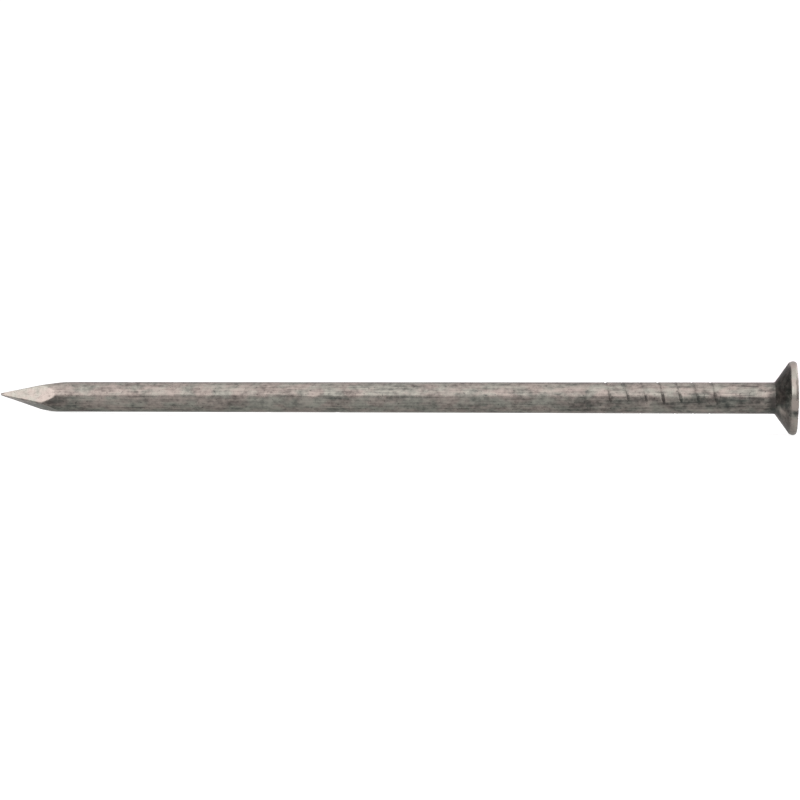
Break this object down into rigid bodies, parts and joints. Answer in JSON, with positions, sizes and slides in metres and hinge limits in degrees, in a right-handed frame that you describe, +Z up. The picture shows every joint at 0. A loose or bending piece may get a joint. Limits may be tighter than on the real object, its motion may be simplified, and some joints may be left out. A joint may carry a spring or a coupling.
{
  "type": "round wire nail",
  "caption": "Round steel wire nail with a chequered countersunk head, slanted grip marks below it and a diamond point.",
  "frame": {"origin": "centre of the head's face, the plane that ends flush with the timber", "axes": "+X along the nail, from its point to its head and out of the head's face; +Z up, the side towards which the point's tip stands off the axis; the nail lies level along X"},
  "size_m": [0.1, 0.0088, 0.0088],
  "materials": {
    "steel": "dull drawn bright steel, greyed and mottled by handling, darker in the grip marks and under the head"
  },
  "bodies": {
    "root": {"nail": "steel"}
  },
  "joints": []
}
